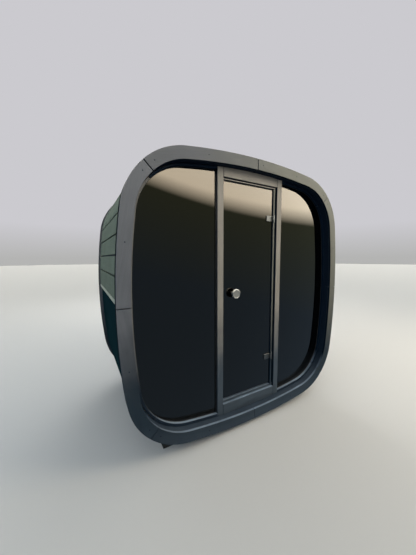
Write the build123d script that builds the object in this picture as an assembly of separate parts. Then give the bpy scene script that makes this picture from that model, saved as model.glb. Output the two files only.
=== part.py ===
from build123d import *
from math import atan2, degrees, hypot, sqrt
import os

# Outdoor sauna: a timber tube of rounded square section, closed by a wall at the
# back and glazed at the front, with a ring at each end that stands proud of the
# side walls. It rests on three bearers. The origin is on the ground under the
# middle of the tube. X runs to the right along the front, Y from the front to the
# back and Z up. Lengths are in millimetres.

# Rings and overall form
ring_width = 2300
ring_height = 2300
overall_depth = 1500
side_radius = 5000
corner_radius = 525
ring_face_width = 90
ring_depth = 85
ground_clearance = 40

# Walls of the tube
wall_setback = 14
panel_setback = 28
ledge_height = 1148
back_wall_thickness = 60
back_wall_recess = 20
deck_thickness = 28
deck_below_sill = 2

# Bearers
bearer_thickness = 70
bearer_length = 1650
bearer_inset = 45

# Front frame behind the ring
front_recess = 70
window_frame_width = 28
window_frame_thickness = 25
post_width = 57
post_depth = 45
door_opening = 600
header_height = 82
sill_board_height = 102
threshold_height = 24
threshold_depth = 28
threshold_setback = 21

# Glass
glass_thickness = 8
glass_rebate = 14

# Door lining
lip_setback = 16
lip_width = 18
lip_front_gap = 13
head_lip_setback = 8
head_lip_thickness = 9
stop_thickness = 16
stop_overlap = 15
head_stop_overlap = 10
stop_gap = 6

# Door leaf
latch_gap = 9
hinge_gap = 8
door_bottom_gap = 16
door_top_gap = 28

# Hinges
hinge_height = 50
clamp_width = 72
clamp_plate = 7
clamp_web = 2.7
leaf_height = 74
pin_radius = 3
knuckle_radius = 6
pin_side_gap = 4
pin_front_gap = 7
knuckle_play = 0.5
leaf_plate = 4
leaf_relief = 4
arm_width = 6
hinge_below_door_top = 262
hinge_above_door_bottom = 275

# Knob
knob_diameter = 84
knob_thickness = 18
knob_chamfer = 6
knob_stem_diameter = 26
knob_reach = 53
knob_bolt_diameter = 10
knob_from_edge = 109
knob_above_door_bottom = 935

# Clearances
seat_gap = 0.3
pin_play = 0.3
bolt_play = 1

# Places worked out from the sizes
front = -overall_depth / 2
middle_z = ground_clearance + ring_height / 2
side_centre = ring_width / 2 - side_radius
top_centre = ring_height / 2 - side_radius
hull_front = ring_depth
hull_back = overall_depth - ring_depth
glass_front = front_recess + window_frame_thickness
glass_back = glass_front + glass_thickness
post_inner = door_opening / 2
post_outer = post_inner + post_width
reveal_top = ring_height / 2 - ring_face_width
sill_top = sill_board_height - reveal_top
threshold_top = sill_top + threshold_height
head_underside = reveal_top - header_height
stop_front = glass_back + stop_gap
stop_back = stop_front + stop_thickness
lip_front = front_recess + lip_front_gap
lip_left = post_inner - lip_setback - lip_width
lip_right = post_inner - lip_setback
door_left = -post_inner + latch_gap
door_right = lip_left - hinge_gap
door_bottom = threshold_top + door_bottom_gap
door_top = head_underside - door_top_gap
back_wall_front = overall_depth - back_wall_recess - back_wall_thickness
sill_back = front_recess + threshold_setback + threshold_depth
pin_x = lip_left - pin_side_gap
pin_depth = lip_front - pin_front_gap
knob_x = door_left + knob_from_edge
knob_z = door_bottom + knob_above_door_bottom
reach = ring_width + ring_height


def corner_centre():
    """Centre of the top right corner arc, tangent to the side arc and the top arc."""
    radius = side_radius - corner_radius
    apart = hypot(side_centre, top_centre)
    along = sqrt(radius**2 - (apart / 2) ** 2)
    x = side_centre / 2 - along * top_centre / apart
    z = top_centre / 2 - along * side_centre / apart
    return x, z


corner_x, corner_z = corner_centre()
side_angle = degrees(atan2(corner_z, corner_x - side_centre))
top_angle = degrees(atan2(corner_x, corner_z - top_centre))


def outline(offset):
    """Rounded square of eight tangent arcs, this far inside the ring's outer edge."""
    wide = side_radius - offset
    tight = corner_radius - offset
    turn = 90 - side_angle - top_angle
    arcs = [
        CenterArc((side_centre, 0), wide, -side_angle, 2 * side_angle),
        CenterArc((corner_x, corner_z), tight, side_angle, turn),
        CenterArc((0, top_centre), wide, 90 - top_angle, 2 * top_angle),
        CenterArc((-corner_x, corner_z), tight, 90 + top_angle, turn),
        CenterArc((-side_centre, 0), wide, 180 - side_angle, 2 * side_angle),
        CenterArc((-corner_x, -corner_z), tight, 180 + side_angle, turn),
        CenterArc((0, -top_centre), wide, 270 - top_angle, 2 * top_angle),
        CenterArc((corner_x, -corner_z), tight, 270 + top_angle, turn),
    ]
    return make_face(Wire(arcs))


def slab(face, near, far):
    """A front view face, drawn about the ring's middle, given depth behind the front."""
    plane = Plane(origin=(0, front + far, middle_z), x_dir=(1, 0, 0), z_dir=(0, -1, 0))
    return extrude(plane * face, amount=far - near, dir=(0, -1, 0))


def outline_slab(offset, near, far):
    """The rounded square as a solid between two depths."""
    return slab(outline(offset), near, far)


def area(points, near, far):
    """A polygon in front view as a solid between two depths."""
    return slab(make_face(Polyline(*points, close=True)), near, far)


def block(left, right, low, high, near, far):
    """A straight block: X and Z from the ring's middle, depth from the ring's face."""
    corners = [(left, low), (right, low), (right, high), (left, high)]
    return area(corners, near, far)


def tube(outer, inner, near, far):
    """The band between two offsets of the rounded square."""
    return outline_slab(outer, near, far) - outline_slab(inner, near - 1, far + 1)


def rod(x, depth, radius, low, high):
    """An upright cylinder: depth from the ring's face, heights from the middle."""
    place = Pos(x, front + depth, middle_z + low)
    align = (Align.CENTER, Align.CENTER, Align.MIN)
    return place * Cylinder(radius, high - low, align=align)


def disc(x, z, radius, near, far):
    """A cylinder along the depth."""
    place = Pos(x, front + (near + far) / 2, middle_z + z) * Rot(90, 0, 0)
    return place * Cylinder(radius, far - near)


def save(shape, node):
    """Write one node's STEP file."""
    export_step(shape, f"parts/{node}.step")


def eighths():
    """The eight sectors between the ring's joints: mid-sides and corner diagonals."""
    sectors = {}
    for side, sx in (("left", -1), ("right", 1)):
        for level, sz in (("top", 1), ("bottom", -1)):
            corner = (sx * corner_x, sz * corner_z)
            far = (sx * (corner_x + reach), sz * (corner_z + reach))
            over = [(0, 0), corner, far, (0, far[1])]
            beside = [(0, 0), (far[0], 0), far, corner]
            sectors[f"{level}_{side}"] = over
            sectors[f"{side}_{level}"] = beside
    return sectors


def front_ring():
    """Eight mitred segments that frame the front."""
    band = tube(0, ring_face_width, 0, ring_depth)
    for name, points in eighths().items():
        save(band & area(points, -1, ring_depth + 1), f"front_ring_{name}")


def back_ring():
    """Four quarter segments that frame the back."""
    band = tube(0, ring_face_width, hull_back, overall_depth)
    for side, sx in (("left", -1), ("right", 1)):
        for level, sz in (("top", 1), ("bottom", -1)):
            far = (sx * reach, sz * reach)
            quarter = [(0, 0), (far[0], 0), far, (0, far[1])]
            piece = band & area(quarter, hull_back - 1, overall_depth + 1)
            save(piece, f"back_ring_{level}_{side}")


def arc_sector(centre, facing, spread):
    """The wedge that an arc's centre sees, this many degrees each side of its facing."""
    x, z = centre
    points = [centre]
    for angle in (facing - spread, facing, facing + spread):
        way = Vector(1, 0, 0).rotate(Axis.Z, angle)
        points.append((x + 2 * reach * way.X, z + 2 * reach * way.Y))
    return area(points, hull_front - 1, hull_back + 1)


def walls():
    """Ten segments of the tube between the rings, split where the arcs meet."""
    band = tube(wall_setback, ring_face_width, hull_front, hull_back)
    panel_band = tube(panel_setback, ring_face_width, hull_front, hull_back)
    ledge_z = ledge_height - ring_height / 2
    upper_half = block(-reach, reach, 0, reach, hull_front - 1, hull_back + 1)
    lower_half = block(-reach, reach, -reach, 0, hull_front - 1, hull_back + 1)
    save(band & arc_sector((0, top_centre), 90, top_angle) & upper_half, "roof")
    save(panel_band & arc_sector((0, -top_centre), -90, top_angle) & lower_half, "base")
    corner_facing = (90 - top_angle + side_angle) / 2
    corner_spread = (90 - top_angle - side_angle) / 2
    for side, sx, outward in (("left", -1, 180), ("right", 1, 0)):
        fan = arc_sector((sx * side_centre, 0), outward, side_angle)
        outside = sorted((0, sx * reach))
        above = block(*outside, ledge_z, reach, hull_front - 1, hull_back + 1)
        below = block(*outside, -reach, ledge_z, hull_front - 1, hull_back + 1)
        save(band & fan & above, f"wall_{side}_upper")
        save(panel_band & fan & below, f"wall_{side}_lower")
        for level, sz, skin in (("top", 1, band), ("bottom", -1, panel_band)):
            facing = sz * (outward + sx * corner_facing)
            wedge = arc_sector((sx * corner_x, sz * corner_z), facing, corner_spread)
            save(skin & wedge, f"corner_{level}_{side}")


def back_wall():
    """The wall that closes the back, inside the tube and the back ring."""
    far = overall_depth - back_wall_recess
    save(outline_slab(ring_face_width + seat_gap, back_wall_front, far), "back_wall")


def floor_deck():
    """The floor that the threshold leads to, with edges that follow the walls."""
    top = sill_top - deck_below_sill
    inside = outline_slab(ring_face_width + seat_gap, sill_back, back_wall_front)
    layer = block(-reach, reach, top - deck_thickness, top, 0, overall_depth)
    save(inside & layer, "floor_deck")


def bearers():
    """Three cross bearers with tops cut to the tube's underside."""
    first = hull_front + bearer_inset
    last = hull_back - bearer_inset - bearer_thickness
    tube_outside = outline_slab(panel_setback - seat_gap, 0, overall_depth)
    low = -ring_height / 2 - ground_clearance
    half = bearer_length / 2
    for name, near in (("front", first), ("middle", (first + last) / 2), ("back", last)):
        beam = block(-half, half, low, -corner_z, near, near + bearer_thickness)
        save(beam - tube_outside, f"bearer_{name}")


def front_frame():
    """Posts, header, sill and the curved frames that hold the windows."""
    inside = outline_slab(ring_face_width + seat_gap, 0, overall_depth)
    post_back = front_recess + post_depth
    above = block(-post_inner, post_inner, head_underside, reach, front_recess, post_back)
    below = block(-post_inner, post_inner, -reach, sill_top, front_recess, sill_back)
    save(inside & above, "header")
    save(inside & below, "sill")
    outer = ring_face_width + seat_gap
    inner = ring_face_width + window_frame_width
    band = tube(outer, inner, front_recess, glass_front)
    for side, sx in (("left", -1), ("right", 1)):
        edges = sorted((sx * post_inner, sx * post_outer))
        save(inside & block(*edges, -reach, reach, front_recess, post_back), f"post_{side}")
        outside = sorted((sx * post_outer, sx * reach))
        save(band & block(*outside, -reach, reach, 0, glass_front + 1), f"window_frame_{side}")


def windows():
    """Two fixed sheets of glass, seated on the back of their frames."""
    edge = ring_face_width + window_frame_width - glass_rebate
    sheet = outline_slab(edge, glass_front, glass_back)
    for side, sx in (("left", -1), ("right", 1)):
        outside = sorted((sx * (post_outer + seat_gap), sx * reach))
        save(sheet & block(*outside, -reach, reach, 0, glass_back + 1), f"window_glass_{side}")


def door_lining():
    """Threshold, stops and the narrow lips that edge the door opening."""
    near = front_recess + threshold_setback
    save(block(-post_inner, post_inner, sill_top, threshold_top, near, sill_back), "threshold")

    stop_low = door_top - head_stop_overlap
    head = block(-post_inner, post_inner, stop_low, head_underside, stop_front, stop_back)
    lip_high = head_underside - head_lip_setback
    lip_low = lip_high - head_lip_thickness
    head += block(-post_inner, lip_right, lip_low, lip_high, lip_front, stop_front)
    save(head, "door_head_lining")

    latch_edge = door_left + stop_overlap
    save(
        block(-post_inner, latch_edge, threshold_top, stop_low, stop_front, stop_back),
        "door_stop_left",
    )

    jamb = block(lip_left, post_inner, threshold_top, stop_low, stop_front, stop_back)
    jamb += block(lip_left, lip_right, threshold_top, lip_low, lip_front, stop_front)
    save(jamb, "door_jamb_right")


def door():
    """The glass door leaf, drilled for its knob."""
    leaf = block(door_left, door_right, door_bottom, door_top, glass_front, glass_back)
    hole_radius = knob_bolt_diameter / 2 + bolt_play
    hole = disc(knob_x, knob_z, hole_radius, glass_front - 1, glass_back + 1)
    save(leaf - hole, "door_glass")


def knob():
    """Round knobs outside and inside, each with a bevelled rim, bolted through the glass."""
    stem_length = knob_reach - knob_thickness
    shape = disc(knob_x, knob_z, knob_bolt_diameter / 2, glass_front - 1, glass_back + 1)
    for seat, outward, rim in ((glass_front, -1, 0), (glass_back, 1, -1)):
        stem_end = seat + outward * stem_length
        face = seat + outward * knob_reach
        shape += disc(knob_x, knob_z, knob_stem_diameter / 2, *sorted((seat, stem_end)))
        head = disc(knob_x, knob_z, knob_diameter / 2, *sorted((stem_end, face)))
        shape += chamfer(head.edges().group_by(Axis.Y)[rim], knob_chamfer)
    save(shape, "door_knob")


def hinge(name, z):
    """A glass clamp on the door and the leaf on the jamb that carries its pin."""
    low = z - hinge_height / 2
    high = z + hinge_height / 2
    inner_low = z - hinge_height / 6
    inner_high = z + hinge_height / 6
    front_face = glass_front - clamp_plate
    back_face = glass_back + clamp_plate
    web_left = door_right + seat_gap
    web_right = web_left + clamp_web
    clamp_left = web_right - clamp_width

    clamp = block(clamp_left, web_right, low, high, front_face, glass_front)
    clamp += block(clamp_left, web_right, low, high, glass_back, back_face)
    clamp += block(web_left, web_right, low, high, front_face, back_face)
    clamp += block(web_right - arm_width, web_right, inner_low, inner_high, pin_depth, front_face)
    clamp += rod(pin_x, pin_depth, knuckle_radius, inner_low, inner_high)
    clamp -= rod(pin_x, pin_depth, pin_radius + pin_play, inner_low - 1, inner_high + 1)
    save(clamp, f"hinge_clamp_{name}")

    plate_low = z - leaf_height / 2
    plate_high = z + leaf_height / 2
    plate_left = lip_left + leaf_relief
    leaf = block(plate_left, lip_right, plate_low, plate_high, lip_front - leaf_plate, lip_front)
    for bottom, top in ((low, inner_low - knuckle_play), (inner_high + knuckle_play, high)):
        leaf += block(pin_x, plate_left, bottom, top, pin_depth, lip_front)
        leaf += rod(pin_x, pin_depth, knuckle_radius, bottom, top)
    leaf += rod(pin_x, pin_depth, pin_radius, low, high)
    save(leaf, f"hinge_leaf_{name}")


os.makedirs("parts", exist_ok=True)
front_ring()
back_ring()
walls()
back_wall()
floor_deck()
bearers()
front_frame()
windows()
door_lining()
door()
knob()
hinge("upper", door_top - hinge_below_door_top)
hinge("lower", door_bottom + hinge_above_door_bottom)
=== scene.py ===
import math
import random
from functools import partial

import bmesh
import bpy
from bpy.props import FloatProperty, FloatVectorProperty, PointerProperty
from mathutils import Matrix, Vector


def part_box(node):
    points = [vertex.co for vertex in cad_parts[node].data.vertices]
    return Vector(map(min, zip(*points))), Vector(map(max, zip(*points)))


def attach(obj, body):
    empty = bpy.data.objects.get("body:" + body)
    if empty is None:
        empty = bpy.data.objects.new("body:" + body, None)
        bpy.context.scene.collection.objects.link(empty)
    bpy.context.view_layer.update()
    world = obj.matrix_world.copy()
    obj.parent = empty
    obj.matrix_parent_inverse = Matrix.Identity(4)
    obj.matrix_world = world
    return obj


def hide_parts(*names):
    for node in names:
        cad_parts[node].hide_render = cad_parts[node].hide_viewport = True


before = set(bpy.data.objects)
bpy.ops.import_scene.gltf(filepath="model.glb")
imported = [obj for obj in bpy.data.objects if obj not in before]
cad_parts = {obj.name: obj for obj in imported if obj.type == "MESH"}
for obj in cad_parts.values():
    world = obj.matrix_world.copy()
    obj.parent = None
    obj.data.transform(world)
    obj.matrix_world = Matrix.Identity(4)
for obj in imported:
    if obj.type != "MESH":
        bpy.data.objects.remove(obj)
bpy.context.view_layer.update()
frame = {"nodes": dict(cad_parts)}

bl_info = {
    "name": "Outdoor sauna",
    "version": (1, 0, 0),
    "blender": (4, 5, 0),
    "location": "3D View > Sidebar > Sauna",
    "description": "Boards, glass and fittings of a rounded outdoor sauna with a glazed front",
    "category": "Object",
}

mm = 0.001

# The outline of the rings, and how far inside it the side walls lie
SIDE_RADIUS = 5000 * mm
CORNER_RADIUS = 525 * mm
RING_FACE = 90 * mm
PANEL_INSET = 28 * mm
WALL_INSET = 14 * mm

# The plain boards inside
LINING_THICKNESS = 14 * mm
LINING_INSET = RING_FACE - LINING_THICKNESS
LINING_GAP = 2 * mm

# The gap between boards that lie on each other, and between a hidden board and what hides it
SKIN = 0.5 * mm
CLEAR = 1 * mm

# Places that the solids' boxes give
half_width = -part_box("front_ring_left_top")[0].x
ring_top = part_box("front_ring_top_left")[1].z
ring_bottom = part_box("front_ring_bottom_left")[0].z
half_height = (ring_top - ring_bottom) / 2
middle = (ring_top + ring_bottom) / 2
front, hull_front = (corner.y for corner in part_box("front_ring_top_left"))
hull_back, back = (corner.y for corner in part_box("back_ring_top_left"))
ledge_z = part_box("wall_right_upper")[0].z

# Directions
RIGHT = Vector((1, 0, 0))
AWAY = Vector((0, 1, 0))
UP = Vector((0, 0, 1))
# The way the light comes from, for the painted shade on the windows' frames
SUNWARD = Vector((0.6, 0, 0.8))
QUARTER = math.pi / 2

# The angle past which an edge is sharp
SHARP = 0.5


def linear(value):
    """An sRGB hex value as linear light, with full alpha."""
    parts = [int(value[i:i + 2], 16) / 255 for i in (1, 3, 5)]
    return tuple(c / 12.92 if c <= 0.04045 else ((c + 0.055) / 1.055) ** 2.4 for c in parts) + (1.0,)


def length(name, description, millimetres):
    """A length that a user may set."""
    return FloatProperty(name=name, description=description, default=millimetres * mm, min=0, unit="LENGTH")


def colour(name, description, value):
    """A colour that a user may set."""
    return FloatVectorProperty(name=name, description=description, default=linear(value),
                               size=4, min=0, max=1, subtype="COLOR")


class SaunaSizes(bpy.types.PropertyGroup):
    """Sizes of the boards and small fittings, in millimetres."""

    board_pitch: length("Board pitch", "Cladding board and its groove, round the outline", 149)
    lowest_board: length("Lowest board", "The lowest cladding board, a wider one", 173)
    board_gap: length("Board gap", "Open groove between two cladding boards", 12)
    board_thickness: length("Board thickness", "Thickness of a cladding board", 18)
    rail_height: length("Rail height", "Pale rail under the lowest cladding board", 28)
    lining_pitch: length("Lining pitch", "Width of an inside board and its groove", 96)
    deck_pitch: length("Deck pitch", "Width of a floor board and its gap", 120)
    face_thickness: length("Face board", "Thickness of the ring's front boards", 22)
    joint_gap: length("Joint gap", "Open joint between two upper ring boards", 7)
    tight_gap: length("Tight joint gap", "Open joint between two lower ring boards, or right ones", 3)
    frame_joint: length("Frame joint", "Open joint between two boards of a window's frame, and round it", 3)
    end_gap: length("End gap", "Open joint between the cladding and the front ring", 9)
    back_gap: length("Back gap", "Open joint between the cladding and the back ring", 13)
    arris: length("Arris", "Rounding on the edges of planed boards", 2)
    plug_diameter: length("Plug", "Diameter of the dark screw plugs", 9)
    plug_from_end: length("Plug from end", "Distance from a joint to the next plug", 56)
    plug_side: length("Side plug", "Distance from the joint at mid height to the next plug", 427)
    plug_top: length("Top plug", "Distance from the joint at the middle of the top to the next plug", 475)


class SaunaColours(bpy.types.PropertyGroup):
    """Colours of the finishes."""

    # Each low colour below is mostly painted shade: the timbers darken towards the ground as the light falls
    # off there
    ring: colour("Ring", "Grey stain on the rings where rain has bleached it", "#54565a")
    # Painted warm light on the rings' right side, where the light falls
    ring_sunny: colour("Ring, sunny", "The same stain where the sun has yellowed it", "#565750")
    ring_low: colour("Ring, low", "The same stain near the ground", "#131e26")
    cladding: colour("Cladding", "Green grey stain on the side boards", "#5a655c")
    cladding_low: colour("Cladding, low", "The same stain lower down", "#505a57")
    frame: colour("Frame", "Pale grey stain on posts and header", "#87827a")
    frame_low: colour("Frame, low", "The same stain near the ground", "#384149")
    # Painted shade on the rings' outer edges
    edge_stain: colour("Edge stain", "Stain on the rings' outer edges", "#1c1f22")
    window_stain: colour("Window stain", "Stain on the windows' frames", "#6d6c6a")
    # Painted shade on the sides, reveals and frames that the rings shade, and the colour of the dark plugs
    stain: colour("Stain", "Dark stain where no sun reaches", "#0a1623")
    stain_low: colour("Stain, low", "The same stain near the ground", "#091622")
    membrane: colour("Membrane", "Woven sheet on the lower walls", "#11262b")
    rail: colour("Rail", "Bare rail under the cladding", "#8d9488")
    bearer: colour("Bearer", "Black treated timber", "#0f0f10")
    lining: colour("Lining", "Plain timber inside", "#b08d62")
    glass: colour("Glass", "Bronze tint of the panes", "#0c0d0e")
    glint: colour("Glint", "Bronze tint of what the panes mirror", "#fff4e6")
    edge: colour("Glass edge", "Ground edge of the door's pane", "#8b8880")
    steel: colour("Steel", "Satin stainless steel of the knobs", "#7c7c79")
    # Painted shade: darker than the knobs' steel, for the darker things that the hinges mirror
    hinge_steel: colour("Hinge steel", "Darker stainless steel of the hinges", "#595a59")
    rubber: colour("Rubber", "Black glazing seal", "#0b0c0d")
    # Dust, and a painted sky sheen where it lies on faces that look up
    dust: colour("Dust", "Pale dust on what lies flat", "#74818e")
    floor: colour("Floor", "Plain studio floor", "#c3c3c0")
    backdrop: colour("Backdrop", "Pale studio backdrop", "#cbcacf")


def outline_arcs():
    """The outline's arcs, anticlockwise from the right: the angle where each ends, its centre and its
    radius."""
    side = half_width - SIDE_RADIUS
    top = half_height - SIDE_RADIUS
    reach = SIDE_RADIUS - CORNER_RADIUS
    apart = math.hypot(side, top)
    along = math.sqrt(reach**2 - (apart / 2) ** 2)
    x = side / 2 - along * top / apart
    z = top / 2 - along * side / apart
    a = math.atan2(z, x - side)
    b = math.atan2(x, z - top)
    return [
        (a, (side, 0), SIDE_RADIUS),
        (QUARTER - b, (x, z), CORNER_RADIUS),
        (QUARTER + b, (0, top), SIDE_RADIUS),
        (2 * QUARTER - a, (-x, z), CORNER_RADIUS),
        (2 * QUARTER + a, (-side, 0), SIDE_RADIUS),
        (3 * QUARTER - b, (-x, -z), CORNER_RADIUS),
        (3 * QUARTER + b, (0, -top), SIDE_RADIUS),
        (4 * QUARTER - a, (x, -z), CORNER_RADIUS),
        (4 * QUARTER, (side, 0), SIDE_RADIUS),
    ]


ARCS = outline_arcs()


def arc_at(angle):
    """Where the arc at this angle ends, its centre and its radius."""
    turns, rest = divmod(angle + 1e-9, math.tau)
    for end, centre, radius in ARCS:
        if rest < end:
            return turns * math.tau + end, centre, radius
    raise ValueError(f"no arc at {angle}")


def facing(angle):
    """The outward direction at an angle of the outline."""
    return Vector((math.cos(angle), 0, math.sin(angle)))


def spot(angle, inset, y):
    """The point that faces this angle, this far inside the outline's outer edge."""
    _, (x, z), radius = arc_at(angle)
    return Vector((x, y, middle + z)) + (radius - inset) * facing(angle)


def walk(angle, distance, inset):
    """The angle reached by going this far round the outline, at that inset."""
    while True:
        end, _, radius = arc_at(angle)
        room = (end - angle) * (radius - inset)
        if distance <= room:
            return angle + distance / (radius - inset)
        distance -= room
        angle = end


def around(start, end, inset):
    """Length of the outline between two angles, at that inset."""
    total = 0
    while start < end - 1e-9:
        arc_end, _, radius = arc_at(start)
        stop = min(arc_end, end)
        total += (stop - start) * (radius - inset)
        start = stop
    return total


def sweep(section, start, end, shift=None):
    """A bar of this section, given as insets and Y, bent round the outline between two angles. shift moves
    the second half of the section's corners."""
    bar = bmesh.new()
    rank = bar.verts.layers.int.new("rank")
    corners = [bar.verts.new(spot(start, inset, y)) for inset, y in section]
    for i, corner in enumerate(corners):
        corner[rank] = i
    first = bar.faces.new(corners)
    turning = [*first.verts, *first.edges]
    while start < end - 1e-9:
        arc_end, (x, z), radius = arc_at(start)
        stop = min(arc_end, end)
        step = math.radians(1) if radius > 1 else math.radians(3)
        made = bmesh.ops.spin(bar, geom=turning, cent=(x, 0, middle + z), axis=-AWAY, angle=stop - start,
                              steps=math.ceil((stop - start) / step))
        turning = made["geom_last"]
        start = stop
    bmesh.ops.contextual_create(bar, geom=[g for g in turning if isinstance(g, bmesh.types.BMEdge)])
    bmesh.ops.recalc_face_normals(bar, faces=bar.faces)
    if shift:
        bmesh.ops.translate(bar, vec=shift, verts=[v for v in bar.verts if v[rank] >= len(section) / 2])
    bar.verts.layers.int.remove(rank)
    return bar


def oblong(outer, inner, near, far):
    """A rectangular section between two insets and two places in Y."""
    return [(outer, near), (outer, far), (inner, far), (inner, near)]


def plank(low, high):
    """A straight timber between two corners."""
    bar = bmesh.new()
    bmesh.ops.create_cube(bar, size=1)
    low, high = Vector(low), Vector(high)
    grow = Matrix.Diagonal((*(high - low), 1))
    bmesh.ops.transform(bar, matrix=Matrix.Translation((low + high) / 2) @ grow, verts=bar.verts)
    return bar


def welded(node):
    """A copy of a solid's own shape, its triangles joined into whole faces."""
    bar = bmesh.new()
    bar.from_mesh(frame["nodes"][node].data)
    bmesh.ops.remove_doubles(bar, verts=bar.verts, dist=0.01 * mm)
    bmesh.ops.dissolve_limit(bar, angle_limit=math.radians(0.3), verts=bar.verts, edges=bar.edges)
    return bar


def cut(bar, point, direction):
    """Takes away what lies beyond a plane and closes the cut."""
    everything = [*bar.verts, *bar.edges, *bar.faces]
    made = bmesh.ops.bisect_plane(bar, geom=everything, plane_co=point, plane_no=direction, clear_outer=True)
    edges = [g for g in made["geom_cut"] if isinstance(g, bmesh.types.BMEdge)]
    bmesh.ops.holes_fill(bar, edges=edges)
    bmesh.ops.recalc_face_normals(bar, faces=bar.faces)
    return bar


def bevelled(bar, edges, width, segments, material=-1, clamp=False):
    """Rounds some edges."""
    bmesh.ops.bevel(bar, geom=edges, offset=width, affect="EDGES", segments=segments, profile=0.5,
                    material=material, clamp_overlap=clamp)
    return bar


def eased(bar, width, segments=2):
    """Rounds the sharp edges."""
    sharp = [e for e in bar.edges if len(e.link_faces) == 2 and e.calc_face_angle() > SHARP]
    return bevelled(bar, sharp, width, segments, clamp=True)


def grained(bar, along, out, dice):
    """Gives a board its own grain: places along it, across it and into it, and a tone."""
    along = Vector(along).normalized()
    axes = (along, along.cross(out).normalized(), Vector(out))
    shift = [dice.uniform(0, 9) for _ in axes]
    tone = dice.random()
    grain = bar.verts.layers.float_vector.new("grain")
    tones = bar.verts.layers.float.new("tone")
    for vert in bar.verts:
        vert[grain] = [vert.co.dot(axis) + part for axis, part in zip(axes, shift)]
        vert[tones] = tone
    return bar


def turned(profile, centre, axis, steps):
    """A round piece turned on a line through centre. Its profile is radii and places along it, in mm."""
    bar = bmesh.new()
    side = axis.orthogonal().normalized()
    centre = Vector(centre)
    verts = [bar.verts.new(centre + (side * radius + axis * along) * mm) for radius, along in profile]
    edges = [bar.edges.new(pair) for pair in zip(verts, verts[1:])]
    bmesh.ops.spin(bar, geom=verts + edges, cent=centre, axis=axis, angle=math.tau, steps=steps,
                   use_merge=True)
    bmesh.ops.remove_doubles(bar, verts=bar.verts, dist=0.001 * mm)
    bmesh.ops.recalc_face_normals(bar, faces=bar.faces)
    return bar


def coloured(bar, index, passes=lambda face: True):
    """Gives the faces of a shape that pass a test one of its piece's materials."""
    for face in bar.faces:
        if passes(face):
            face.material_index = index
    return bar


def looks(way, least):
    """A test for faces that look away from the middle of the opening, or with a way of -1 towards it."""
    def passes(face):
        away = face.calc_center_median() - Vector((0, 0, middle))
        return way * face.normal.dot(Vector((away.x, 0, away.z)).normalized()) > least
    return passes


looks_in, looks_out = looks(-1, 0.6), looks(1, 0.8)


def add_node(tree, kind, inputs=(), out=0, stops=(), **settings):
    """Adds a node with its settings, the values or links of its inputs, by name or in their order, and a
    ramp's colour stops, and gives one of its outputs."""
    node = tree.nodes.new("ShaderNode" + kind)
    for name, value in settings.items():
        setattr(node, name, value)
    for name, value in inputs.items() if isinstance(inputs, dict) else enumerate(inputs):
        if isinstance(value, bpy.types.NodeSocket):
            tree.links.new(value, node.inputs[name])
        else:
            node.inputs[name].default_value = value
    if stops:
        elements = node.color_ramp.elements
        while len(elements) < len(stops):
            elements.new(1)
        for element, (place, shade) in zip(elements, stops):
            element.position = place
            element.color = shade
    return node.outputs[out] if node.outputs else node


def scaled(shade, factor):
    """A colour made lighter or darker."""
    return tuple(min(1, c * factor) for c in shade[:3]) + (1.0,)


# Each of the next functions draws a finish with add, and gives the values and links of its shader

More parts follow.
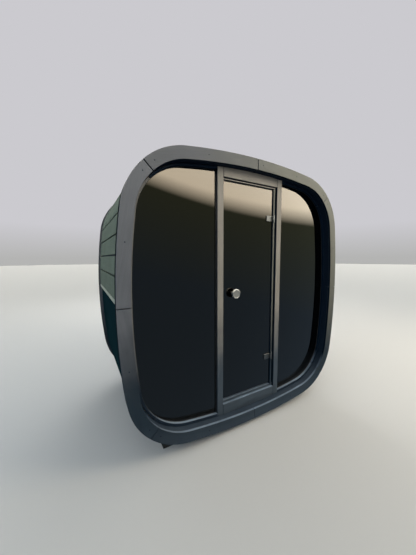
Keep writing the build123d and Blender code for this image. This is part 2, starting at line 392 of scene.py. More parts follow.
def timber(add, colours, high, low=None, yellowed=None, grain_mm=5, contrast=0.14, rough=(0.48, 0.66),
           relief_mm=0.2, dust=0.0, dust_tone=1.0, tones=0.2, gloss=0.25, splash=0.0):
    """Planed spruce under a thin stain: growth lines run along each board, boards differ in tone, the upper
    ones are lighter and the lower ones darker, which is mostly painted shade with a little weathering, dust
    and a painted sky sheen lie on level faces, and rain splashes some against what is close to the ground."""
    lower, upper = (tuple(getattr(colours, stain)) for stain in (low or high, high))
    grain = add("Attribute", out="Vector", attribute_name="grain")
    tone = add("Attribute", out="Fac", attribute_name="tone")
    stretched = add("Mapping", {"Vector": grain, "Scale": (0.03, 1, 1)})
    fine = add("TexNoise", {"Vector": stretched, "Scale": 1 / (grain_mm * mm), "Detail": 3, "Roughness": 0.6})
    # Broader streaks, 15 mm apart
    streak = add("TexNoise", {"Vector": stretched, "Scale": 1 / (15 * mm)})
    cloud = add("TexNoise", {"Vector": grain, "Scale": 4.5, "Detail": 3})
    lines = add("Math", (fine, streak), operation="ADD")
    # Painted light: the right side, lit from the right, takes the upper colour a little lower down
    place = add("TexCoord", out="Object")
    height = add("VectorMath", (place, (0.05, 0, 1)), "Value", operation="DOT_PRODUCT")
    wavy = add("Math", (cloud, 0.5, height), operation="MULTIPLY_ADD")
    # Painted shade: from the low colour near the ground to the high one above, for light that falls off
    # towards the ground
    bleached = add("MapRange", {"Value": wavy, "From Min": 0.7, "From Max": 1.4},
                   interpolation_type="SMOOTHSTEP")
    # Painted warm light on the right side, where the warm light falls
    if yellowed:
        across = add("SeparateXYZ", (place,), "X")
        sunny = add("MapRange", {"Value": across, "From Min": -0.6, "From Max": 0.3})
        upper = add("Mix", {0: sunny, 6: upper, 7: tuple(getattr(colours, yellowed))}, 2, data_type="RGBA")
    body = add("Mix", {0: bleached, 6: lower, 7: upper}, 2, data_type="RGBA")
    lined = add("MapRange", {"Value": lines, "From Min": 0.7, "From Max": 1.3, "To Min": 1 - contrast,
                             "To Max": 1 + contrast})
    toned = add("MapRange", {"Value": tone, "To Min": 1 - tones / 2, "To Max": 1 + tones / 2})
    clouded = add("MapRange", {"Value": cloud, "From Min": 0.3, "From Max": 0.7, "To Min": 0.9,
                               "To Max": 1.08})
    factor = add("Math", (lined, toned), operation="MULTIPLY")
    factor = add("Math", (factor, clouded), operation="MULTIPLY")
    painted = add("VectorMath", {0: body, "Scale": factor}, operation="SCALE")
    # Dust, and a painted sky sheen, on faces that look up
    if dust:
        up = add("SeparateXYZ", (add("NewGeometry", out="Normal"),), "Z")
        dust_and_sheen_share = add("MapRange", {"Value": up, "From Min": 0.35, "From Max": 0.9, "To Max": dust})
        patchy = add("MapRange", {"Value": cloud, "From Min": 0.3, "From Max": 0.6, "To Min": 0.5})
        dust_and_sheen_share = add("Math", (dust_and_sheen_share, patchy), operation="MULTIPLY")
        thrown = add("MapRange", {"Value": height, "From Min": 0.3, "From Max": 0.05, "To Max": splash})
        dust_and_sheen_share = add("Math", (dust_and_sheen_share, thrown), operation="MAXIMUM")
        dust_and_sheen = scaled(colours.dust, dust_tone)
        painted = add("Mix", {0: dust_and_sheen_share, 6: painted, 7: dust_and_sheen}, 2, data_type="RGBA")
    sheen = add("MapRange", {"Value": lines, "From Min": 0.7, "From Max": 1.3, "To Min": rough[0],
                             "To Max": rough[1]})
    bump = add("Bump", {"Height": fine, "Strength": 0.4, "Distance": relief_mm * mm})
    return {"Base Color": painted, "Roughness": sheen, "Normal": bump, "IOR": 1.5,
            "Specular IOR Level": gloss}


def woven_membrane(add, colours):
    """Woven polyethylene sheet over the boards: flat tapes crossing on the diagonal, dull and barely
    glossy."""
    grain = add("Attribute", out="Vector", attribute_name="grain")
    # Real tapes are 2 mm wide, drawn 9 mm wide so that they show
    turn = add("Mapping", {"Vector": grain, "Rotation": (0, 0, math.pi / 4)})
    waves = [add("TexWave", {"Vector": turn, "Scale": 1 / (18 * mm) / 3}, "Fac", bands_direction=way)
             for way in ("X", "Y")]
    weave = add("Math", waves, operation="MAXIMUM")
    cloud = add("TexNoise", {"Vector": grain, "Scale": 3, "Detail": 3})
    body = add("ValToRGB", {"Fac": weave}, stops=((0.2, scaled(colours.membrane, 0.55)),
                                                  (0.9, scaled(colours.membrane, 1.3))))
    patch = add("MapRange", {"Value": cloud, "From Min": 0.3, "From Max": 0.7, "To Min": 0.75, "To Max": 1.2})
    painted = add("VectorMath", {0: body, "Scale": patch}, operation="SCALE")
    sheen = add("MapRange", {"Value": weave, "To Min": 0.95, "To Max": 0.8})
    bump = add("Bump", {"Height": weave, "Strength": 0.6, "Distance": 0.8 * mm})
    return {"Base Color": painted, "Roughness": sheen, "Normal": bump, "IOR": 1.5, "Specular IOR Level": 0.0}


def bronze_glass(add, colours):
    """Toughened float glass, bronze tinted right through: almost black, and a clear warm mirror of what
    it faces."""
    haze = add("TexNoise", {"Vector": add("TexCoord", out="Object"), "Scale": 2.2, "Detail": 4})
    # A faint film of dust and dried drops, a little duller in patches
    film = add("MapRange", {"Value": haze, "From Min": 0.35, "From Max": 0.75, "To Min": 0.005,
                            "To Max": 0.04})
    tint = add("Mix", {0: haze, 6: scaled(colours.glass, 0.85), 7: scaled(colours.glass, 1.15)}, 2,
               data_type="RGBA")
    return {"Base Color": tint, "Roughness": film, "IOR": 1.54, "Transmission Weight": 0.9,
            "Specular Tint": tuple(colours.glint)}


def ground_edge(add, colours):
    """The cut edge of toughened glass, ground flat and arrissed: it scatters light where the face
    mirrors it."""
    # Real grit marks are under 0.1 mm, drawn at 1 mm
    grit = add("TexNoise", {"Vector": add("TexCoord", out="Object"), "Scale": 1 / (1 * mm)})
    tint = add("Mix", {0: grit, 6: scaled(colours.edge, 0.8), 7: scaled(colours.edge, 1.2)}, 2,
               data_type="RGBA")
    return {"Base Color": tint, "IOR": 1.52, "Roughness": 0.35}


def brushed_steel(add, colours, shade):
    """Stainless steel, satin brushed: fine scratches one way that blur the light across them."""
    shade = getattr(colours, shade)
    # Real scratches are 0.1 mm apart, drawn 0.6 mm apart so that they show in a close view
    strokes = add("Mapping", {"Vector": add("TexCoord", out="Object"), "Scale": (0.04, 1, 1)})
    scratch = add("TexNoise", {"Vector": strokes, "Scale": 1 / (0.6 * mm)})
    body = add("Mix", {0: scratch, 6: scaled(shade, 0.82), 7: scaled(shade, 1.1)}, 2, data_type="RGBA")
    sheen = add("MapRange", {"Value": scratch, "To Min": 0.42, "To Max": 0.55})
    bump = add("Bump", {"Height": scratch, "Strength": 0.15, "Distance": 0.05 * mm})
    return {"Base Color": body, "Roughness": sheen, "Normal": bump, "Metallic": 1.0}


def extruded_rubber(add, colours):
    """Extruded rubber: matt black, paler where it is dusty."""
    dust = add("TexNoise", {"Vector": add("TexCoord", out="Object"), "Scale": 60, "Detail": 4})
    body = add("Mix", {0: dust, 6: tuple(colours.rubber), 7: scaled(colours.rubber, 2.2)}, 2,
               data_type="RGBA")
    return {"Base Color": body, "IOR": 1.5, "Roughness": 0.62}


def studio_floor(add, colours):
    """The studio's floor, plain and matt."""
    return {"Base Color": tuple(colours.floor), "Roughness": 0.9}


# What the darker timbers share, with the same painted shade near the ground
DARK = dict(low="stain_low", tones=0.15)

# Each finish: its name, what draws it, and how it differs from others of its kind
FINISHES = {
    # The rings, bare to the weather, with painted warm light on the right side where the light falls
    "ring": ("Grey stained spruce", timber,
             dict(high="ring", low="ring_low", yellowed="ring_sunny", contrast=0.1, dust=0.8, tones=0.4,
                  splash=0.1)),
    # The paler posts and header
    "frame": ("Pale stained spruce", timber, dict(high="frame", low="frame_low", tones=0.1, dust=0.9)),
    # Painted shade: the dark colour of sides and reveals that the rings and frames shade, also used for the
    # dark plugs, with a little dust and a painted sky sheen on what lies flat
    "shaded": ("Dark stained spruce", timber, dict(DARK, high="stain", dust=0.16, gloss=0.08)),
    # The same painted shade on edges that stand out to the sky, pale with dust and a painted sky sheen on
    # what lies flat
    "dusty": ("Dark stained spruce, dusty", timber,
              dict(DARK, high="stain", dust=1.0, dust_tone=1.15, gloss=0.0)),
    # Painted shade on the rings' outer edges behind the face boards, a little lighter than that of the
    # reveals
    "edge": ("Edge stained spruce", timber, dict(DARK, high="edge_stain", dust=0.3, gloss=0.0)),
    # The windows' frames where the light reaches them, lighter at the top and darker towards the bottom,
    # which is painted shade
    "window": ("Stained spruce of the windows", timber, dict(DARK, high="window_stain", dust=0.3)),
    # What lies in the shade of a joint
    "hidden": ("Unlit spruce", timber, dict(high="rubber", tones=0.1)),
    # The side boards, rougher than the rings
    "cladding": ("Green grey stained spruce", timber,
                 dict(high="cladding", low="cladding_low", contrast=0.16, tones=0.22, rough=(0.7, 0.9),
                      gloss=0.04)),
    # The rail, with no stain
    "rail": ("Bare spruce", timber, dict(high="rail", tones=0.1)),
    # The bare planed boards inside, and the scrubbed floor
    "lining": ("Plain planed spruce", timber, dict(high="lining", contrast=0.2, rough=(0.42, 0.6))),
    "deck": ("Scrubbed floor spruce", timber, dict(high="lining", dust=0.3)),
    # The bearers, rough from the saw
    "bearer": ("Sawn treated timber", timber,
               dict(high="bearer", grain_mm=4, contrast=0.4, rough=(0.75, 0.95), relief_mm=0.9)),
    "membrane": ("Woven membrane", woven_membrane, {}),
    "glass": ("Bronze glass", bronze_glass, {}),
    "glass_edge": ("Ground glass edge", ground_edge, {}),
    "knob": ("Brushed stainless steel", brushed_steel, dict(shade="steel")),
    # Painted shade: the hinges' steel darker than the knobs', for the darker things it mirrors
    "hinge": ("Dark brushed stainless steel", brushed_steel, dict(shade="hinge_steel")),
    "rubber": ("Extruded rubber", extruded_rubber, {}),
    "studio": ("Plain studio floor", studio_floor, {}),
}
RING_FINISHES = ("ring", "shaded", "dusty", "edge")


def finished(mesh, *finishes):
    """Gives a mesh its materials, each made when it is first asked for."""
    for finish in finishes:
        name, paint, settings = FINISHES[finish]
        material = bpy.data.materials.get(name)
        if not material:
            material = bpy.data.materials.new(name)
            material.use_nodes = True
            material.node_tree.nodes.clear()
            add = partial(add_node, material.node_tree)
            shader = add("BsdfPrincipled", paint(add, bpy.context.scene.sauna_colours, **settings))
            add("OutputMaterial", {"Surface": shader})
        mesh.materials.append(material)


def meshed(name, shape):
    """A mesh of a shape, which is used up."""
    mesh = bpy.data.meshes.new(name)
    shape.to_mesh(mesh)
    shape.free()
    return mesh


def placed(name, data):
    """Puts a mesh, lamp or camera into the scene."""
    made = bpy.data.objects.new(name, data)
    bpy.context.scene.collection.objects.link(made)
    return made


def piece(name, shapes, finishes, body="cabin", stands_for=()):
    """Joins shapes into one object that rides on a body and may stand for solids."""
    whole = bmesh.new()
    for shape in shapes:
        part = meshed("part", shape)
        whole.from_mesh(part)
        bpy.data.meshes.remove(part)
    mesh = meshed(name, whole)
    finished(mesh, *finishes)
    mesh.shade_smooth()
    mesh.set_sharp_from_angle(angle=math.radians(20))
    made = placed(name, mesh)
    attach(made, body)
    if stands_for:
        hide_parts(*stands_for)


class PieceOperator:
    """What the operators that build a piece share."""

    bl_options = {"REGISTER", "UNDO"}

    def execute(self, context):
        self.build(context.scene.sauna_sizes)
        return {"FINISHED"}


EIGHTHS = ("right_top", "top_right", "top_left", "left_top",
           "left_bottom", "bottom_left", "bottom_right", "right_bottom")


def ring_boards(eighth, near, far, shown, sizes, dice):
    """The face board and the board behind it of one eighth of a ring. shown is the side that faces out."""
    if shown < 0:
        joint = near + sizes.face_thickness
        shown_board, rear_board = (near + SKIN, joint), (joint + SKIN, far)
    else:
        joint = far - sizes.face_thickness
        shown_board, rear_board = (joint, far - SKIN), (near, joint - SKIN)
    open_gaps = [sizes.joint_gap if end in (2, 3, 4) else sizes.tight_gap for end in (eighth, eighth + 1)]
    boards = []
    rear = oblong(CLEAR, RING_FACE - SKIN, *rear_board)
    for gaps, section, arris in ((open_gaps, oblong(0, RING_FACE, *shown_board), sizes.arris),
                                 ((SKIN, SKIN), rear, sizes.arris / 2)):
        start, end = eighth * QUARTER / 2, (eighth + 1) * QUARTER / 2
        start += gaps[0] / 2 / (arc_at(start)[2] - RING_FACE / 2)
        end -= gaps[1] / 2 / (arc_at(end - 1e-6)[2] - RING_FACE / 2)
        # Painted shade: sides and ends take the dark shaded finish, the rear board's outer edge the dark edge
        # finish and the face board's inner edge the dark dusty one, while the front and back faces and the
        # face board's outer edge keep the ring's colour
        board = coloured(eased(sweep(section, start, end), arris), 1, lambda face: abs(face.normal.y) < 0.5)
        coloured(board, 3 if boards else 0, looks_out)
        if not boards:
            coloured(board, 2, looks_in)
        boards.append(grained(board, spot(end, 0, 0) - spot(start, 0, 0), AWAY * shown, dice))
    return boards


def plugs(places, diameter, dice):
    """Round dark plugs over the screws in the front, at these places, just proud of the board."""
    radius = diameter / 2 / mm
    profile = [(0, 0), (radius * 0.8, 0), (radius, -0.4), (radius, -3), (0, -3)]
    return [grained(coloured(turned(profile, place, -AWAY, 16), 1), RIGHT, -AWAY, dice) for place in places]


class SAUNA_OT_front_ring(PieceOperator, bpy.types.Operator):
    """Builds the eight mitred boards of the front ring with their plugs"""

    bl_idname = "sauna.front_ring"
    bl_label = "Front ring"

    def build(self, sizes):
        # The boards of this seed differ in tone as the real ones do
        dice = random.Random(7281)
        inset = RING_FACE / 2
        for eighth, name in enumerate(EIGHTHS):
            shapes = ring_boards(eighth, front, hull_front, -1, sizes, dice)
            start = eighth * QUARTER / 2
            total = around(start, (eighth + 1) * QUARTER / 2, inset)
            far = sizes.plug_side if name.startswith(("left", "right")) else sizes.plug_top
            steps = [far, total - sizes.plug_from_end]
            if eighth % 2:
                steps = [total - step for step in steps]
            if name == "top_right":
                steps.append(total - sizes.plug_from_end)
            places = [spot(walk(start, step, inset), inset, front) for step in steps]
            shapes += plugs(places, sizes.plug_diameter, dice)
            piece(f"front_ring_boards_{name}", shapes, RING_FINISHES,
                  stands_for=[f"front_ring_{name}"])


class SAUNA_OT_back_ring(PieceOperator, bpy.types.Operator):
    """Builds the boards of the back ring"""

    bl_idname = "sauna.back_ring"
    bl_label = "Back ring"

    def build(self, sizes):
        dice = random.Random(12)
        for quarter, name in enumerate(("top_right", "top_left", "bottom_left", "bottom_right")):
            shapes = []
            for eighth in (2 * quarter, 2 * quarter + 1):
                shapes += ring_boards(eighth, hull_back, back, 1, sizes, dice)
            piece(f"back_ring_boards_{name}", shapes, RING_FINISHES,
                  stands_for=[f"back_ring_{name}"])


def ledge_angle(inset, height):
    """The angle on the right side where the outline, at that inset, is this high."""
    return math.asin((height - middle) / (SIDE_RADIUS - inset))


class SAUNA_OT_cladding(PieceOperator, bpy.types.Operator):
    """Builds the boards that run front to back over the sides and roof, and their rails"""

    bl_idname = "sauna.cladding"
    bl_label = "Cladding"

    def build(self, sizes):
        # The boards of this seed differ in tone much as the real ones do
        dice = random.Random(310)
        rail = ledge_angle(WALL_INSET, ledge_z)
        low = ledge_angle(WALL_INSET, ledge_z + sizes.rail_height)
        total = around(low, math.pi - low, WALL_INSET)
        span = total - 2 * sizes.lowest_board
        count = round(span / sizes.board_pitch)
        joints = [0] + [sizes.lowest_board + span * i / count for i in range(count + 1)] + [total]
        inner = WALL_INSET + sizes.board_thickness
        section = oblong(WALL_INSET, inner, hull_front + sizes.end_gap, hull_back - sizes.back_gap)
        boards = []
        for below, above in zip(joints, joints[1:]):
            start = walk(low, below + sizes.board_gap / 2, WALL_INSET)
            end = walk(start, above - below - sizes.board_gap, WALL_INSET)
            board = eased(sweep(section, start, end), sizes.arris * 1.5)
            boards.append(grained(board, AWAY, facing((start + end) / 2), dice))
        shaded = sweep(oblong(inner + CLEAR, LINING_INSET - CLEAR, hull_front, hull_back),
                       rail, math.pi - rail)
        boards.append(coloured(grained(shaded, AWAY, UP, dice), 1))
        piece("cladding_boards", boards, ["cladding", "hidden"],
              stands_for=["roof", "wall_left_upper", "wall_right_upper", "corner_top_left",
                          "corner_top_right"])
        rails = []
        for start, end in ((rail, low), (math.pi - low, math.pi - rail)):
            bar = eased(sweep(oblong(WALL_INSET, inner, hull_front, hull_back), start, end), sizes.arris)
            rails.append(grained(bar, AWAY, facing(start), dice))
        piece("cladding_rails", rails, ["rail"])


class SAUNA_OT_lower_walls(PieceOperator, bpy.types.Operator):
    """Builds the woven sheet that covers the lower walls and the underside"""

    bl_idname = "sauna.lower_walls"
    bl_label = "Lower walls"

    def build(self, sizes):
        ledge = ledge_angle(PANEL_INSET, ledge_z)
        start, end = math.pi - ledge, math.tau + ledge
        sheet = sweep(oblong(PANEL_INSET, LINING_INSET - CLEAR, hull_front, hull_back), start, end)
        grain = sheet.verts.layers.float_vector.new("grain")
        total = around(start, end, PANEL_INSET)
        for vert in sheet.verts:
            angle = math.atan2(vert.co.z - middle, vert.co.x) % math.tau
            vert[grain] = (vert.co.y, total * angle / math.tau, 0)
        piece("lower_wall_sheet", [sheet], ["membrane"],
              stands_for=["base", "wall_left_lower", "wall_right_lower", "corner_bottom_left",
                          "corner_bottom_right"])


class SAUNA_OT_lining(PieceOperator, bpy.types.Operator):
    """Builds the plain boards that line the room"""

    bl_idname = "sauna.lining"
    bl_label = "Lining"

    def build(self, sizes):
        dice = random.Random(15)
        total = around(0, math.tau, RING_FACE)
        count = round(total / sizes.lining_pitch)
        pitch = total / count
        section = oblong(LINING_INSET, RING_FACE, hull_front, hull_back)
        boards = []
        for i in range(count):
            start = walk(0, i * pitch + LINING_GAP / 2, RING_FACE)
            end = walk(start, pitch - LINING_GAP, RING_FACE)
            board = eased(sweep(section, start, end), 1.5 * mm, 1)
            boards.append(grained(board, AWAY, -facing((start + end) / 2), dice))
        piece("lining_boards", boards, ["lining"])


def slices(node, pitch, gap, low_y, high_y, arris, along, out, dice):
    """Upright boards cut from a solid between two places in Y, so that their ends follow its outline."""
    low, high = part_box(node)
    count = round((high.x - low.x) / pitch)
    pitch = (high.x - low.x) / count
    boards = []
    for i in range(count):
        board = welded(node)
        left, right = low.x + i * pitch + gap / 2, low.x + (i + 1) * pitch - gap / 2
        for place, way in ((left * RIGHT, -RIGHT), (right * RIGHT, RIGHT),
                           (low_y * AWAY, -AWAY), (high_y * AWAY, AWAY)):
            cut(board, place, way)
        boards.append(grained(eased(board, arris), along, out, dice))
    return boards


class SAUNA_OT_back_wall(PieceOperator, bpy.types.Operator):
    """Builds the back wall: upright boards outside and plain ones inside"""

    bl_idname = "sauna.back_wall"
    bl_label = "Back wall"

    def build(self, sizes):
        dice = random.Random(16)
        low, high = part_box("back_wall")
        joint = high.y - sizes.board_thickness
        lining = low.y + LINING_THICKNESS
        outside = slices("back_wall", sizes.board_pitch, sizes.board_gap, joint, high.y, sizes.arris * 1.5,
                         UP, AWAY, dice)
        shaded = cut(cut(welded("back_wall"), (joint - CLEAR) * AWAY, AWAY), (lining + CLEAR) * AWAY, -AWAY)
        outside.append(coloured(grained(shaded, UP, AWAY, dice), 1))
        piece("back_wall_boards", outside, ["cladding", "hidden"], stands_for=["back_wall"])
        inside = slices("back_wall", sizes.lining_pitch, LINING_GAP, low.y, lining, 1.5 * mm, UP, -AWAY, dice)
        piece("back_wall_lining", inside, ["lining"])


class SAUNA_OT_floor(PieceOperator, bpy.types.Operator):
    """Builds the floor boards"""

    bl_idname = "sauna.floor"
    bl_label = "Floor boards"

    def build(self, sizes):
        low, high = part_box("floor_deck")
        boards = slices("floor_deck", sizes.deck_pitch, 5 * mm, low.y, high.y, 2.5 * mm, AWAY, UP,
                        random.Random(17))
        piece("floor_boards", boards, ["deck"], stands_for=["floor_deck"])


class SAUNA_OT_bearers(PieceOperator, bpy.types.Operator):
    """Builds the three black bearers"""

    bl_idname = "sauna.bearers"
    bl_label = "Bearers"

    def build(self, sizes):
        dice = random.Random(18)
        for name in ("front", "middle", "back"):
            bar = grained(eased(welded(f"bearer_{name}"), 1.5 * mm, 1), RIGHT, -AWAY, dice)
            piece(f"bearer_timber_{name}", [bar], ["bearer"], stands_for=[f"bearer_{name}"])


class SAUNA_OT_door_frame(PieceOperator, bpy.types.Operator):
    """Builds the posts, header, sill, threshold and the door's lining, pale in front and dark elsewhere as
    painted shade
    """

    bl_idname = "sauna.door_frame"
    bl_label = "Posts and door frame"

    def build(self, sizes):
        dice = random.Random(19)
        # Places of the plugs: up and down from a post's ends, and left of the header's middle
        plug_from_end, plug_aside = 75 * mm, 51 * mm
        for node, along in (("post_left", UP), ("post_right", UP), ("header", RIGHT), ("sill", RIGHT),
                            ("threshold", RIGHT), ("door_head_lining", RIGHT), ("door_stop_left", UP),
                            ("door_jamb_right", UP)):
            low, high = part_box(node)
            centre = (low + high) / 2
            bar = welded(node)
            if node in ("header", "sill"):
                cut(bar, (low.x + sizes.frame_joint) * RIGHT, -RIGHT)
                cut(bar, (high.x - sizes.frame_joint) * RIGHT, RIGHT)
            eased(bar, 1 * mm if node.startswith("door") else sizes.arris)
            # Painted shade on the faces that don't look to the front; on the sill and the threshold these
            # also take dust and a painted sky sheen where they lie flat
            coloured(bar, 2 if node in ("sill", "threshold") else 1, lambda face: face.normal.y > -0.3)
            shapes = [grained(bar, along, -AWAY, dice)]
            places = []
            if node.startswith("post"):
                places = [(centre.x, low.y, z) for z in (high.z - plug_from_end, low.z + plug_from_end)]
            if node == "header":
                places = [(centre.x - plug_aside, low.y, centre.z)]
            shapes += plugs(places, sizes.plug_diameter * 0.8, dice)
            # The upright lips of the door's lining have kept more of the stain
            shown = "ring" if node in ("door_stop_left", "door_jamb_right") else "frame"
            piece(f"{node}_timber", shapes, [shown, "shaded", "dusty"], stands_for=[node])
        # Black rubber strips fill the gap over the pane and beside it, so that the gap shows black
        low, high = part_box("door_head_lining")
        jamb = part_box("door_jamb_right")[0]
        near, far, under = low.y + 20 * mm, low.y + 26 * mm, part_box("header")[0].z
        seals = (plank((low.x + 1 * mm, near, high.z - 12 * mm), (high.x, far, under)),
                 plank((jamb.x + 19 * mm, near, jamb.z + 1 * mm), (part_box("post_right")[0].x, far, under)))
        piece("door_frame_seal", [grained(eased(seal, 1 * mm), RIGHT, -AWAY, dice) for seal in seals],
              ["rubber"])


class SAUNA_OT_windows(PieceOperator, bpy.types.Operator):
    """Builds the curved window frames with their seals, and finishes the panes"""

    bl_idname = "sauna.windows"
    bl_label = "Windows"

    def build(self, sizes):
        dice = random.Random(20)
        low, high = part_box("window_frame_right")
        outer = RING_FACE + sizes.frame_joint
        inner = 113.5 * mm
        half_joint = sizes.frame_joint / CORNER_RADIUS
        corner = math.radians(42)
        seal_back = high.y - 0.2 * mm
        for side, sign, middle_angle in (("right", 1, 0), ("left", -1, math.pi)):
            edge = sign * low.x * RIGHT
            # The opening is a little nearer to the ring at the side and the top than at the bottom
            shift = Vector((sign * 3 * mm, 0, 3.5 * mm))
            ends = [middle_angle + turn for turn in (-QUARTER, -corner, corner, QUARTER)]
            rails = []
            for start, end in zip(ends, ends[1:]):
                bar = sweep(oblong(outer, inner, low.y, high.y), start + half_joint, end - half_joint, shift)
                cut(bar, edge, -sign * RIGHT)
                along = spot(end - 0.1, 0, 0) - spot(start + 0.1, 0, 0)
                # Painted shade: the rails under the ring's top and beside its right, which the ring keeps
                # from the light, take the dark shaded finish; the inner edges of all rails take the dark
                # dusty one
                in_painted_shade = facing((start + end) / 2).dot(SUNWARD) > 0
                coloured(coloured(eased(bar, sizes.arris), 2 if in_painted_shade else 0), 1, looks_in)
                rails.append(grained(bar, along, -AWAY, dice))
            piece(f"window_frame_{side}_timber", rails, ["window", "dusty", "shaded"],
                  stands_for=[f"window_frame_{side}"])
            post_low, post_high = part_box(f"post_{side}")
            beside = post_high.x if side == "right" else post_low.x
            # Painted shade: a black rubber strip beside the post, so that the post's side shows black as
            # shade
            upright = plank((beside, high.y - 8 * mm, post_low.z + 4 * mm),
                            (beside + sign * 6 * mm, seal_back, post_high.z - 4 * mm))
            upright = grained(eased(upright, 1 * mm), UP, -AWAY, dice)
            section = oblong(inner - 4 * mm, inner + 2.5 * mm, high.y - 3 * mm, seal_back)
            seal = cut(sweep(section, ends[0], ends[-1], shift), edge, -sign * RIGHT)
            piece(f"window_seal_{side}", [grained(seal, UP, -AWAY, dice), upright], ["rubber"])
            pane = frame["nodes"][f"window_glass_{side}"].data
            pane.materials.clear()
            finished(pane, "glass")


class SAUNA_OT_door(PieceOperator, bpy.types.Operator):
    """Builds the door's pane with its ground edges, and its round knobs"""

    bl_idname = "sauna.door"
    bl_label = "Door and knobs"

    def build(self, sizes):
        pane = coloured(welded("door_glass"), 1, lambda face: abs(face.normal.y) < 0.5)
        rims = [e for e in pane.edges if abs(e.link_faces[0].normal.y) + abs(e.link_faces[1].normal.y) > 0.5
                and e.calc_face_angle() > SHARP]
        piece("door_pane", [bevelled(pane, rims, 1.2 * mm, 1, material=1)], ["glass", "glass_edge"],
              body="door", stands_for=["door_glass"])
        low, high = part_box("door_knob")
        glass_low, glass_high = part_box("door_glass")
        centre = (low + high) / 2
        radius = (high.x - low.x) / 2 / mm
        stem = 13
        knobs = []
        for face, seat, out in ((low.y, glass_low.y, -1), (high.y, glass_high.y, 1)):
            reach = abs(face - seat) / mm
            head = reach - 18
            profile = [(0, 0), (stem * 1.5, 0), (stem * 1.5, 2.5), (stem * 1.35, 3.5), (stem, 5),
                       (stem, head - 5), (stem * 1.25, head), (radius - 3, head), (radius, head + 3),
                       (radius, reach - 7), (radius - 2.2, reach - 2.5), (radius - 7, reach),
                       (radius - 10, reach - 1.2), (0, reach - 1.8)]
            knobs.append(turned(profile, (centre.x, seat, centre.z), AWAY * out, 64))
        piece("door_knob_steel", knobs, ["knob"], body="door", stands_for=["door_knob"])


def cap_screws(places):
    """Flat screw heads with a socket, in the front of what they hold."""
    profile = [(0, 0.2), (2, 0.2), (2, 1), (4, 1), (4.6, 0.4), (4.6, -0.5), (0, -0.5)]
    return [turned(profile, place, -AWAY, 24) for place in places]


def knuckle(bore, tall):
    """The profile of a hinge's knuckle, as tall as this, with its ends eased."""
    tall /= mm
    outer, ease = 6, 0.6
    return [(bore, 0), (outer - ease, 0), (outer, ease), (outer, tall - ease), (outer - ease, tall),
            (bore, tall)]


class SAUNA_OT_hinges(PieceOperator, bpy.types.Operator):
    """Builds the glass clamps and the leaves that carry their pins"""

    bl_idname = "sauna.hinges"
    bl_label = "Hinges"

    def build(self, sizes):
        glass_low, glass_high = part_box("door_glass")
        front_face, back_face = glass_low.y - 7 * mm, glass_high.y + 7 * mm
        right = glass_high.x + 3 * mm
        for name in ("upper", "lower"):
            low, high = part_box(f"hinge_clamp_{name}")
            leaf_low, leaf_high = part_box(f"hinge_leaf_{name}")
            pin_x, pin_y = leaf_low.x + 6 * mm, low.y + 6 * mm
            third = (high.z - low.z) / 3
            shapes = []
            for near, far in ((front_face, glass_low.y), (glass_high.y, back_face)):
                plate = plank((low.x, near, low.z), (right, far, high.z))
                corners = [e for e in plate.edges if abs((e.verts[0].co - e.verts[1].co).y) > 1 * mm]
                shapes.append(eased(bevelled(plate, corners, 4 * mm, 4), 1.2 * mm))
            # The web past the pane's edge, the arm to the pin and the knuckle on it
            shapes.append(plank((glass_high.x + 0.3 * mm, front_face, low.z + 4 * mm),
                                (right, back_face, high.z - 4 * mm)))
            arm = plank((right - 6 * mm, pin_y, low.z + third), (right, front_face, high.z - third))
            shapes.append(eased(arm, 1 * mm))
            rim = knuckle(3.4, third)
            shapes.append(turned(rim + rim[:1], (pin_x, pin_y, low.z + third), UP, 28))
            middle_z = (low.z + high.z) / 2
            shapes += cap_screws([(low.x + aside, front_face, middle_z) for aside in (20 * mm, 52 * mm)])
            piece(f"hinge_clamp_{name}_steel", shapes, ["hinge"], body="door",
                  stands_for=[f"hinge_clamp_{name}"])

            leaf_left = leaf_low.x + 14 * mm
            leaf_front = leaf_high.y - 4 * mm
            shapes = [eased(plank((leaf_left, leaf_front, leaf_low.z), leaf_high), 1.5 * mm, 3)]
            for bottom, top in ((low.z, low.z + third - 0.5 * mm), (high.z - third + 0.5 * mm, high.z)):
                arm = plank((pin_x, pin_y, bottom), (leaf_left + 1 * mm, leaf_high.y, top))
                shapes.append(eased(arm, 1 * mm))
                shapes.append(turned(knuckle(0, top - bottom), (pin_x, pin_y, bottom), UP, 28))
            tall = (high.z - low.z) / mm
            shapes.append(turned([(0, 0), (3, 0), (3, tall), (0, tall)], (pin_x, pin_y, low.z), UP, 20))
            shapes += cap_screws([(leaf_high.x - 7 * mm, leaf_front, z)
                                  for z in (leaf_low.z + 8 * mm, leaf_high.z - 8 * mm)])
            piece(f"hinge_leaf_{name}_steel", shapes, ["hinge"],
                  stands_for=[f"hinge_leaf_{name}"])


def sized_light(name, place, size, power, tint):
    """A large soft lamp that faces the sauna."""
    lamp = bpy.data.lights.new(name, "AREA")
    lamp.color = tint
    lamp.shape = "RECTANGLE"
    lamp.size, lamp.size_y = size
    lamp.energy = power
    made = placed(name, lamp)
    made.location = place
    made.rotation_euler = (Vector((0, 0, 1.2)) - Vector(place)).to_track_quat("-Z", "Y").to_euler()
    return made


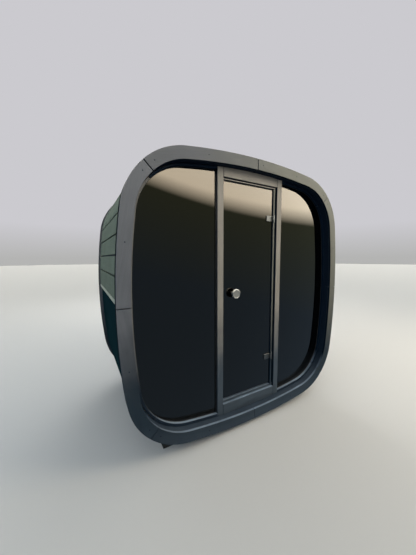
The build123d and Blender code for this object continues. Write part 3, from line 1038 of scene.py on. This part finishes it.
class SAUNA_OT_stage(PieceOperator, bpy.types.Operator):
    """Lays the floor, hangs the lights and sets the camera"""

    bl_idname = "sauna.stage"
    bl_label = "Stage"

    def build(self, sizes):
        ground = bmesh.new()
        bmesh.ops.create_circle(ground, cap_ends=True, radius=60, segments=64)
        floor = placed("studio_floor", meshed("studio_floor", ground))
        finished(floor.data, "studio")
        # The panes mirror the dark lower half of the studio in place of the floor
        floor.visible_glossy = False

        world = bpy.data.worlds.new("studio")
        world.use_nodes = True
        world.node_tree.nodes.clear()
        add = partial(add_node, world.node_tree)
        way = add("TexCoord", out="Generated")
        height = add("SeparateXYZ", (way,), "Z")
        leaning = add("VectorMath", (way, (0.3, 0, 1)), "Value", operation="DOT_PRODUCT")
        # Soft light from the upper half, a brighter sheet for what mirrors it, and a pale backdrop
        backdrop = tuple(bpy.context.scene.sauna_colours.backdrop)
        lit, mirrored, behind = (
            add("Background", {"Color": add("ValToRGB", {"Fac": along}, stops=stops), "Strength": strength})
            for along, strength, stops in (
                (height, 0.75, [(0.0, (0.3, 0.3, 0.3, 1)), (0.13, (0.27, 0.28, 0.29, 1)),
                                (0.3, (0.68, 0.72, 0.77, 1)), (1.0, (0.6, 0.66, 0.74, 1))]),
                (leaning, 10.0, [(0.0, (0.018, 0.026, 0.036, 1)), (0.36, (0.032, 0.036, 0.024, 1)),
                                 (0.42, (1, 0.92, 0.76, 1)), (1.0, (1, 0.98, 0.93, 1))]),
                (height, 1.0, [(0.0, linear("#b4b4b3")), (0.12, backdrop)])))
        glossy = add("MixShader", (add("LightPath", out="Is Glossy Ray"), lit, mirrored))
        mixed = add("MixShader", (add("LightPath", out="Is Camera Ray"), glossy, behind))
        add("OutputWorld", {"Surface": mixed})
        bpy.context.scene.world = world

        key = sized_light("key", (3.8, -3.55, 4.3), (2.4, 2.4), 185, (1.0, 0.86, 0.66))
        # The panes don't mirror this lamp
        key.visible_glossy = False
        sized_light("left", (-5.5, -1.55, 4.0), (3, 3), 56, (0.7, 0.87, 1.0))
        sized_light("front", (-3.4, -4.45, 3.0), (3, 3), 26, (0.6, 0.8, 1.0))
        sized_light("back", (2.0, 5.55, 4.5), (4, 3), 150, (1.0, 1.0, 1.0))

        camera = bpy.data.cameras.new("camera")
        camera.sensor_width = 36
        camera.lens = 14.756
        camera.clip_start = 0.05
        eye = placed("camera", camera)
        yaw, pitch, roll = math.radians(29.40), math.radians(4.967), math.radians(-0.18)
        eye.matrix_world = (Matrix.Translation((-1.3401, -2.2644, 1.5166)) @ Matrix.Rotation(-yaw, 4, "Z")
                            @ Matrix.Rotation(QUARTER - pitch, 4, "X") @ Matrix.Rotation(roll, 4, "Z"))
        bpy.context.scene.camera = eye
        bpy.context.scene.view_settings.view_transform = "Standard"


class SAUNA_PT_parts(bpy.types.Panel):
    """Lists the steps that build the sauna"""

    bl_label = "Sauna"
    bl_space_type = "VIEW_3D"
    bl_region_type = "UI"
    bl_category = "Sauna"

    def draw(self, context):
        for operator in OPERATORS:
            self.layout.operator(operator.bl_idname)
        for settings in (context.scene.sauna_sizes, context.scene.sauna_colours):
            for name in settings.__annotations__:
                self.layout.prop(settings, name)


# In the order in which they are defined
OPERATORS = tuple(PieceOperator.__subclasses__())
CLASSES = (SaunaSizes, SaunaColours, *OPERATORS, SAUNA_PT_parts)


def register():
    for entry in CLASSES:
        bpy.utils.register_class(entry)
    bpy.types.Scene.sauna_sizes = PointerProperty(type=SaunaSizes)
    bpy.types.Scene.sauna_colours = PointerProperty(type=SaunaColours)


def unregister():
    del bpy.types.Scene.sauna_colours
    del bpy.types.Scene.sauna_sizes
    for entry in reversed(CLASSES):
        bpy.utils.unregister_class(entry)


def main():
    """Builds every piece in order."""
    register()
    for operator in OPERATORS:
        group, name = operator.bl_idname.split(".")
        getattr(getattr(bpy.ops, group), name)()


if __name__ == "__main__":
    main()
